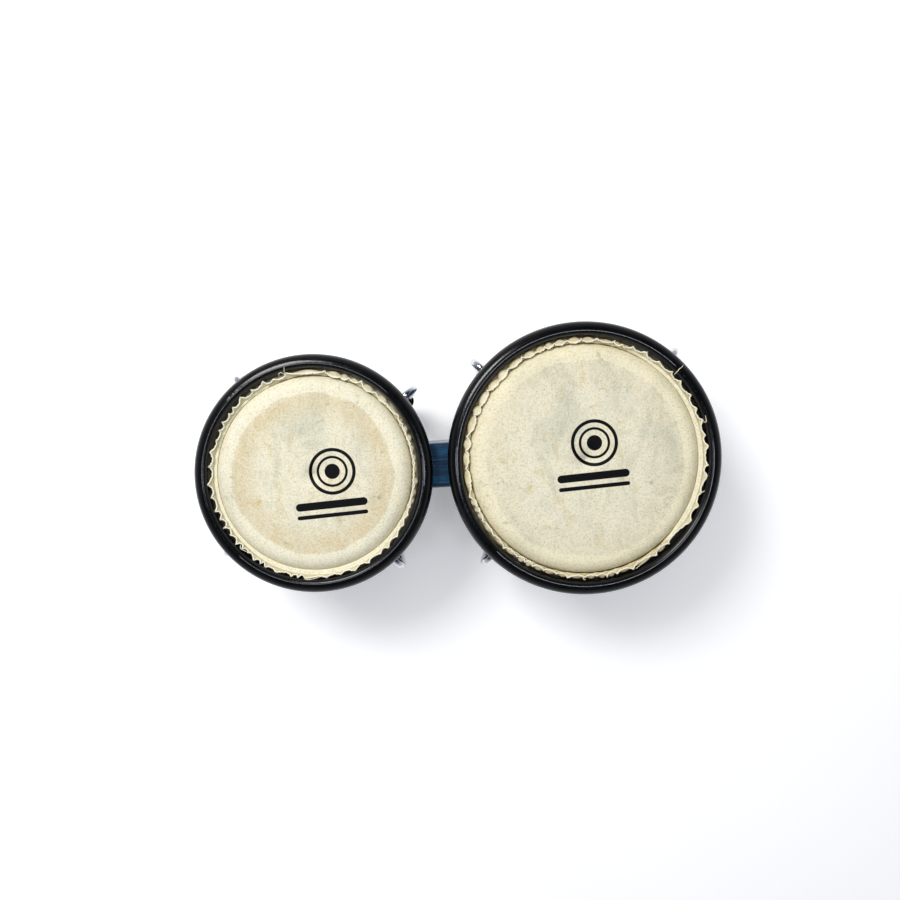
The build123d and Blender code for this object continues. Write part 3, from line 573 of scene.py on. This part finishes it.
CUT = 0.0011                 # thickness of the trimmed hide
CREST_R = 0.004              # of the rim's crest, which the wall below leans out to
WALL_LEAN = math.radians(8)
EDGE_TURNS = 1440            # loops round a trimmed edge
STEPS = 6                    # between two stations of the sheet
for drum, seed in (("macho", 11), ("hembra", 5)):
    radius = edge_radius[drum]
    hoop_radius, hoop_z, lap = hoop(drum)
    bend_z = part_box(drum + "_shell")[1][2] - EDGE_ROUND
    shoulder_z = hoop_z + lap + HIDE / 2 + 0.0003
    turns = np.arange(EDGE_TURNS) / EDGE_TURNS * math.tau
    crest, reach, sway = flutes(turns, POINTS[drum], seed)
    inward = round_table(INWARD[drum], turns)
    hang = round_table(SCALLOPS[drum], turns)
    pick = random.Random(seed + 1)
    ripple = sum(pick.uniform(0.3, 1) * np.sin(turns * n + pick.uniform(0, math.tau)) for n in range(60, 260, 9))
    edge_out = hang + (reach - hang) * crest + 0.09 * ripple
    lift = sum(pick.uniform(0.3, 1) * np.sin(turns * n + pick.uniform(0, math.tau)) for n in range(5, 40, 4))
    edge_up = 164.0 + crest * (2.6 - 1.6 * inward) + 0.25 * lift
    # The sheet runs through four stations: over the hoop, a pinch, a valley and the cut edge.
    pinch_out = 0.3 + (2.0 - 0.6 * crest) * inward
    pinch_up = 159.7 - (1.7 - 0.6 * crest) * inward
    valley_out = (hang + 0.5) * (1 - inward) + (6.5 - 3.9 * crest) * inward
    valley_up = 160.4 + (1.6 - 1.8 * crest) * inward
    fixed = np.ones(EDGE_TURNS)
    over_hoop = (hoop_radius - radius) * 1000 - 0.3
    stations = [(over_hoop * fixed, (shoulder_z * 1000) * fixed), (pinch_out, pinch_up),
                (valley_out, valley_up), (edge_out, edge_up)]
    stations = np.array([stations[0]] + stations + [stations[-1]]) / 1000
    run, rises, creams, creases = [], [], [], []
    for part in range(3):
        p0, p1, p2, p3 = stations[part:part + 4]
        for step in range(1, STEPS + 1):
            t = step / STEPS
            run.append(0.5 * (2 * p1 + (p2 - p0) * t + (2 * p0 - 5 * p1 + 4 * p2 - p3) * t ** 2
                              + (3 * p1 - p0 - 3 * p2 + p3) * t ** 3))
            rises.append((part + t) / 3)
            creams.append((1 - inward) * (1.0 if part < 2 else max(0.0, 1 - 2.5 * t)))
            # Where the painted shade of the fold falls: a narrow band at the valley, on the sides that stand away.
            creases.append((1 - inward) * math.exp(-((part + t - 2.05) / 0.16) ** 2))
    line = bow(hoop_radius, hoop_z, lap, 0, 92, 8)
    rise = np.array([0.0] * len(line) + rises)
    cream = np.array([0 * fixed] * len(line) + creams).T
    crease = np.array([0 * fixed] * len(line) + creases).T
    lapped = np.repeat(np.array(line)[None], EDGE_TURNS, 0)
    ring = np.concatenate([lapped[:, :, 0], radius + np.array(run)[:, 0].T], axis=1)
    height = np.concatenate([lapped[:, :, 1], np.array(run)[:, 1].T], axis=1)
    # It keeps off the head's rounded edge below it and off the rim's wall and crest outside it.
    loose = rise[None, :] > 0
    bulge = np.sqrt(np.clip((EDGE_ROUND + 0.0013) ** 2 - (height - bend_z) ** 2, 0, None))
    inside = np.where(height < bend_z + EDGE_ROUND + 0.0013, radius - EDGE_ROUND + bulge, 0.0)
    crest_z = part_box(drum + "_rim")[1][2] - CREST_R
    wall = hoop_radius + np.where(
        height < crest_z, (height - shoulder_z) * math.tan(WALL_LEAN),
        0.0056 - np.sqrt(np.clip(CREST_R ** 2 - (height - crest_z) ** 2, 0, None)))
    ring = np.where(loose, np.clip(ring, inside + CUT * 0.75, wall - CUT * 0.7), ring)
    angle = turns[:, None] - (sway * 0.55)[:, None] * np.clip(rise, 0, 1)[None, :] ** 2
    spots = np.stack([centre[drum] + ring * np.cos(angle), ring * np.sin(angle), height], -1)
    along = np.gradient(spots, axis=1)
    across = np.roll(spots, -1, axis=0) - np.roll(spots, 1, axis=0)
    normal = np.cross(across, along)
    normal /= np.linalg.norm(normal, axis=2)[:, :, None] + 1e-12
    widths = np.where(rise > 0, CUT, HIDE)[None, :, None] / 2
    loops = np.concatenate([spots + normal * widths, (spots - normal * widths)[:, ::-1]], axis=1)
    trimmed = cut_hide(drum + "_trimmed_rawhide", FLANK[drum], PAINTED_CREASE_SHADE[drum])
    frill = build(drum + "_trimmed_edge", loops.reshape(-1, 3), ring_faces(EDGE_TURNS, loops.shape[1]), trimmed)
    for label, values in (("rise", np.tile(np.concatenate([rise, rise[::-1]]), (EDGE_TURNS, 1))),
                          ("cream", np.concatenate([cream, cream[:, ::-1]], axis=1)),
                          ("crease", np.concatenate([crease, crease[:, ::-1]], axis=1))):
        frill.data.attributes.new(label, "FLOAT", "POINT").data.foreach_set(
            "value", values.astype(np.float32).ravel())
    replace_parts(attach(frill, drum + "_rim"), drum + "_skin_tuck")


# Shreds that the knife left: most curl off the points of the edge, and one lies across the large rim.
tree, inputs = group("hide_shred", Shred_radius=0.0004)
path = add(tree, "GeometryNodeMeshToCurve", {"Mesh": inputs["Geometry"]}).outputs["Curve"]
path = add(tree, "GeometryNodeCurveSplineType", {"Curve": path}, spline_type="CATMULL_ROM").outputs["Curve"]
path = add(tree, "GeometryNodeSetSplineResolution", {"Geometry": path, "Resolution": 8}).outputs["Geometry"]
girth = add(tree, "GeometryNodeInputNamedAttribute", {"Name": "girth"}, data_type="FLOAT").outputs["Attribute"]
thick = add(tree, "ShaderNodeMath", {0: girth, 1: inputs["Shred radius"]}, operation="MULTIPLY").outputs[0]
ring = add(tree, "GeometryNodeCurvePrimitiveCircle", {"Resolution": 8, "Radius": 1.0}).outputs["Curve"]
shred = add(tree, "GeometryNodeCurveToMesh", {
    "Curve": path, "Profile Curve": ring, "Fill Caps": True, "Scale": thick})
hide_shred = close(tree, shred.outputs["Mesh"], hides["hembra"])

# Each shred's stations: degrees from +X, millimetres past the shell's edge, and height.
SHREDS = {
    "macho": [[(101.6, 5.0, 165.4), (102.0, 7.4, 167.4), (101.4, 9.6, 169.6), (101.0, 11.4, 171.0)],
              [(102.4, 4.6, 165.0), (103.6, 7.4, 167.6), (104.9, 7.0, 168.4), (105.3, 5.2, 166.6)],
              [(30.0, 4.6, 165.2), (31.4, 5.8, 166.4), (34.0, 4.6, 166.2), (39.0, 4.0, 165.4)],
              [(221.0, 4.6, 164.8), (222.4, 6.6, 166.2), (225.0, 5.6, 166.4), (227.0, 4.8, 165.2)],
              [(262.0, 8.0, 167.0), (264.5, 7.8, 168.2), (268.0, 6.6, 167.4), (271.0, 5.4, 165.8)]],
    "hembra": [[(40.6, 6.4, 166.4), (40.9, 9.0, 170.0), (41.2, 12.2, 171.6), (41.0, 15.2, 171.0),
                (41.2, 17.6, 169.6)],
               [(14.4, 7.2, 166.6), (14.2, 9.2, 169.4), (15.6, 9.6, 170.2), (17.2, 10.0, 170.6)],
               [(266.2, 3.4, 164.6), (266.6, 5.4, 166.4), (267.4, 6.2, 167.0)],
               [(340.4, 5.2, 165.2), (341.6, 7.4, 167.0), (342.2, 7.0, 167.8)],
               [(292.0, 6.4, 165.6), (297.0, 4.4, 165.4), (303.0, 2.6, 165.2), (306.0, 1.6, 164.8)]]}
for drum in DRUMS:
    runs = [[around(drum, math.radians(turn), edge_radius[drum] + past / 1000, 0, up / 1000)
             for turn, past, up in run] for run in SHREDS[drum]]
    seed = polyline(drum + "_shred_lines", *runs)
    girths = [0.35 + 0.65 * math.sin(math.pi * (0.25 + 0.7 * n / (len(run) - 1)))
              for run in runs for n in range(len(run))]
    seed.attributes.new("girth", "FLOAT", "POINT").data.foreach_set("value", girths)
    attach(grown(drum + "_hide_shreds", seed, hide_shred), drum + "_rim")


# ---- Flesh hoops ----
# Round steel rod, rolled and butt welded, that the hide is lapped on. It stays bare, with the faint lengthwise
# lines of drawn rod.

steel, tree, out = blank("drawn_steel_rod")
place = add(tree, "ShaderNodeTexCoord").outputs["Object"]
draw = add(tree, "ShaderNodeTexNoise", {"Vector": place, "Scale": 500, "Detail": 3})
colour = ramp(tree, draw.outputs["Fac"], (0.3, "6D6A66"), (0.7, "93918D"))
surface = add(tree, "ShaderNodeBsdfPrincipled", {"Base Color": colour, "Metallic": 1.0, "Roughness": 0.4})
tree.links.new(surface.outputs["BSDF"], out.inputs["Surface"])
for drum in DRUMS:
    paint(drum + "_flesh_hoop", steel)


# ---- Rims and side plates ----
# Each rim is rolled from 3 mm steel sheet: a skirt round the hoop, a shoulder that presses it down, a leaning
# wall, a tight crest and a broad roll outward that is kind to the hand. The hook plates are welded on.

SKIRT_OUT = 0.0147           # from the edge of the shell to the outside of the rim's skirt
PLATE_SIDE = 0.0131          # from a plate's middle to the bead along its side
PLATE_THICKNESS = 0.003
for drum in DRUMS:
    paint(drum + "_rim", coat)
    paint(drum + "_side_plates", coat)
    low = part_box(drum + "_rim")[0][2]
    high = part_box(drum + "_side_plates")[1][2]
    skirt = edge_radius[drum] + SKIRT_OUT
    runs = []
    for angle in hook_angles(drum):
        for side in (-PLATE_SIDE, PLATE_SIDE):
            runs.append([around(drum, angle, skirt + 0.0002, side * skirt / (skirt + PLATE_THICKNESS), z)
                         for z in (low + 0.0022, (low + high) / 2, high - 0.0004)])
    weld = grown(drum + "_plate_welds", polyline(drum + "_plate_weld_lines", *runs), weld_bead)
    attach(weld, drum + "_rim")


# ---- Tension hooks ----
# Four J-hooks per drum, bent from 8 mm steel rod, threaded M8 at the foot and chromed after threading. Each
# hangs in its side plate and passes down through an ear.

# Polished chrome over steel: a bright neutral mirror, with faint haze and fine polishing marks.
chrome, tree, out = blank("polished_chrome")
place = add(tree, "ShaderNodeTexCoord").outputs["Object"]
haze = add(tree, "ShaderNodeTexNoise", {"Vector": place, "Scale": 130, "Detail": 4, "Roughness": 0.6})
colour = ramp(tree, haze.outputs["Fac"], (0.3, "C9CCD0"), (0.7, "DFE1E4"))
rough = add(tree, "ShaderNodeMapRange", {"Value": haze.outputs["Fac"], "To Min": 0.05, "To Max": 0.16})
surface = add(tree, "ShaderNodeBsdfPrincipled", {
    "Base Color": colour, "Metallic": 1.0, "Roughness": rough.outputs["Result"]})
tree.links.new(surface.outputs["BSDF"], out.inputs["Surface"])

HOOK_ROD = 0.004
HOOK_BEND = 0.0105           # to the middle of the bent rod
HOOK_LEAN = math.radians(12)
THREAD_FROM_NUT = 0.020      # the rod's end lies this far down the rod from the middle of the nut
THREAD_LENGTH = 0.046
CORE = 0.765                 # girth of the thread's core, as a share of the plain rod

tree, inputs = group("tension_hook", Rod_radius=HOOK_ROD, Core_radius=0.00305, Ridge=0.00045, Pitch=0.00125,
                     Thread_length=THREAD_LENGTH - 0.002, Lean=HOOK_LEAN, Tail_radius=0.1, Tail_height=0.02)
path = add(tree, "GeometryNodeMeshToCurve", {"Mesh": inputs["Geometry"]}).outputs["Curve"]
girth = add(tree, "GeometryNodeInputNamedAttribute", {"Name": "girth"}, data_type="FLOAT").outputs["Attribute"]
radius = add(tree, "ShaderNodeMath", {0: girth, 1: inputs["Rod radius"]}, operation="MULTIPLY").outputs[0]
ring = add(tree, "GeometryNodeCurvePrimitiveCircle", {"Resolution": 40, "Radius": 1.0}).outputs["Curve"]
rod = add(tree, "GeometryNodeCurveToMesh", {
    "Curve": path, "Profile Curve": ring, "Fill Caps": True, "Scale": radius})
tail = add(tree, "ShaderNodeCombineXYZ", {"X": inputs["Tail radius"], "Z": inputs["Tail height"]})
turn = add(tree, "ShaderNodeCombineXYZ", {"Y": inputs["Lean"]})
ridge = add(tree, "GeometryNodeTransform", {
    "Geometry": helix(tree, inputs).outputs["Mesh"], "Translation": tail.outputs["Vector"],
    "Rotation": turn.outputs["Vector"]})
both = add(tree, "GeometryNodeJoinGeometry", {"Geometry": rod.outputs["Mesh"]})
tree.links.new(ridge.outputs["Geometry"], both.inputs["Geometry"])
tension_hook = close(tree, both.outputs["Geometry"], chrome)

lean_r, lean_z = math.sin(HOOK_LEAN), math.cos(HOOK_LEAN)
for drum in DRUMS:
    for number, angle in enumerate(hook_angles(drum), start=1):
        node = f"{drum}_hook_{number}"
        nut = [middle(f"{drum}_tuning_nut_{number}", axis) for axis in range(3)]
        nut_r = math.hypot(nut[0] - centre[drum], nut[1])
        bend_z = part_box(node)[1][2] - HOOK_ROD - HOOK_BEND
        rod_top = (bend_z - HOOK_BEND * lean_r - nut[2]) / lean_z
        bend_r = nut_r + rod_top * lean_r - HOOK_BEND * lean_z
        tail = (nut_r - THREAD_FROM_NUT * lean_r, nut[2] - THREAD_FROM_NUT * lean_z)
        along = [(0, 0.72), (0.0006, CORE), (THREAD_LENGTH - 0.0014, CORE), (THREAD_LENGTH, 1)]
        along += [((THREAD_LENGTH + THREAD_FROM_NUT + rod_top) / 2, 1)]
        run = [(tail[0] + far * lean_r, 0, tail[1] + far * lean_z) for far, _ in along]
        thick = [share for _, share in along]
        run += [(r, 0, z) for r, z in bow(bend_r, bend_z, HOOK_BEND, -math.degrees(HOOK_LEAN), 180, 29)]
        run += [(bend_r - HOOK_BEND, 0, bend_z - drop) for drop in (0.0035, 0.0070, 0.0076, 0.0080)]
        thick += [1] * (len(run) - len(thick) - 2) + [0.95, 0.8]
        seed = polyline(node + "_path", run)
        seed.attributes.new("girth", "FLOAT", "POINT").data.foreach_set("value", thick)
        hook = grown(node + "_rod", seed, tension_hook, Tail_radius=tail[0], Tail_height=tail[1])
        hook.data.transform(Matrix.Translation((centre[drum], 0, 0)) @ Matrix.Rotation(angle, 4, "Z"))
        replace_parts(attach(hook, drum + "_rim"), node)


# ---- Tuning nuts and washers ----
# An M8 hex nut under a flat washer pulls each hook down. Both are chromed, and the nuts turn as the head is
# tuned.

for drum in DRUMS:
    paint(drum + "_tuning_washers", chrome)
    for number in range(1, 5):
        paint(f"{drum}_tuning_nut_{number}", chrome)


# ---- Studio ----
# A plain pale sweep under soft, even light from the far side and the left, so the drums throw a faint grey
# shadow towards the near side.

sweep, tree, out = blank("pale_sweep")
place = add(tree, "ShaderNodeTexCoord").outputs["Object"]
fleck = add(tree, "ShaderNodeTexNoise", {"Vector": place, "Scale": 6, "Detail": 2})
colour = ramp(tree, fleck.outputs["Fac"], (0.3, "FBFBFC"), (0.7, "FDFDFD"))
surface = add(tree, "ShaderNodeBsdfPrincipled", {
    "Base Color": colour, "Roughness": 0.9, "Specular IOR Level": 0.1, "Emission Color": linear("FFFFFF"),
    "Emission Strength": 0.26})
tree.links.new(surface.outputs["BSDF"], out.inputs["Surface"])
FLOOR = 3.0                  # half the width of the floor
floor = build("floor", [(-FLOOR, -FLOOR, 0), (FLOOR, -FLOOR, 0), (FLOOR, FLOOR, 0), (-FLOOR, FLOOR, 0)],
              [(0, 1, 2, 3)], sweep)

# The walls of the studio are bright and its ceiling is dark, so level black steel stays black.
world = bpy.data.worlds.new("studio")
bpy.context.scene.world = world
world.use_nodes = True
tree = world.node_tree
facing = add(tree, "ShaderNodeSeparateXYZ", {"Vector": add(tree, "ShaderNodeTexCoord").outputs["Generated"]})
climb = ramp(tree, facing.outputs["Z"], (0.0, "FBFCFF"), (0.3, "EEF1FB"), (0.6, "80858F"), (0.85, "33353A"))
tree.links.new(climb, tree.nodes["Background"].inputs["Color"])
tree.nodes["Background"].inputs["Strength"].default_value = 0.65


def soft_box(name, place, target, size, power, colour, mirrored):
    """A rectangular area light that faces a point; gloss shows it only where mirrored."""
    lamp = bpy.data.lights.new(name, "AREA")
    lamp.shape = "RECTANGLE"
    lamp.size, lamp.size_y = size
    lamp.energy = power
    lamp.color = linear(colour)[:3]
    stand = bpy.data.objects.new(name, lamp)
    stand.location = place
    stand.rotation_euler = (Vector(target) - Vector(place)).to_track_quat("-Z", "Y").to_euler()
    stand.visible_glossy = mirrored
    bpy.context.scene.collection.objects.link(stand)


soft_box("ceiling_box", (-0.10, 0.50, 1.60), (0, 0, 0.1), (1.3, 1.1), 8, "FFFEFC", False)
soft_box("far_box", (-0.65, 0.80, 1.60), (0, 0, 0.1), (0.6, 0.6), 21, "FFFEFC", True)
soft_box("left_box", (-0.45, -0.11, 1.90), (-0.136, 0, 0.1), (0.26, 0.26), 2.4, "EEF3FF", True)
soft_box("right_box", (0.39, -0.11, 1.90), (0.12, 0, 0.1), (0.26, 0.26), 3.4, "EEF3FF", True)

scene = bpy.context.scene
scene.view_settings.view_transform = "Standard"
camera = bpy.data.objects.new("camera", bpy.data.cameras.new("camera"))
scene.collection.objects.link(camera)
camera.data.sensor_width = 36
camera.data.lens = 32.68
camera.data.clip_start = 0.01
right = Vector((0.99842, -0.05564, -0.00787))
up = Vector((0.05523, 0.99746, -0.04493))
back = right.cross(up).normalized()
right = up.cross(back).normalized()
turn = Matrix((right, up, back)).transposed().to_4x4()
camera.matrix_world = Matrix.Translation((0.001912, 0.049579, 0.932017)) @ turn
scene.camera = camera
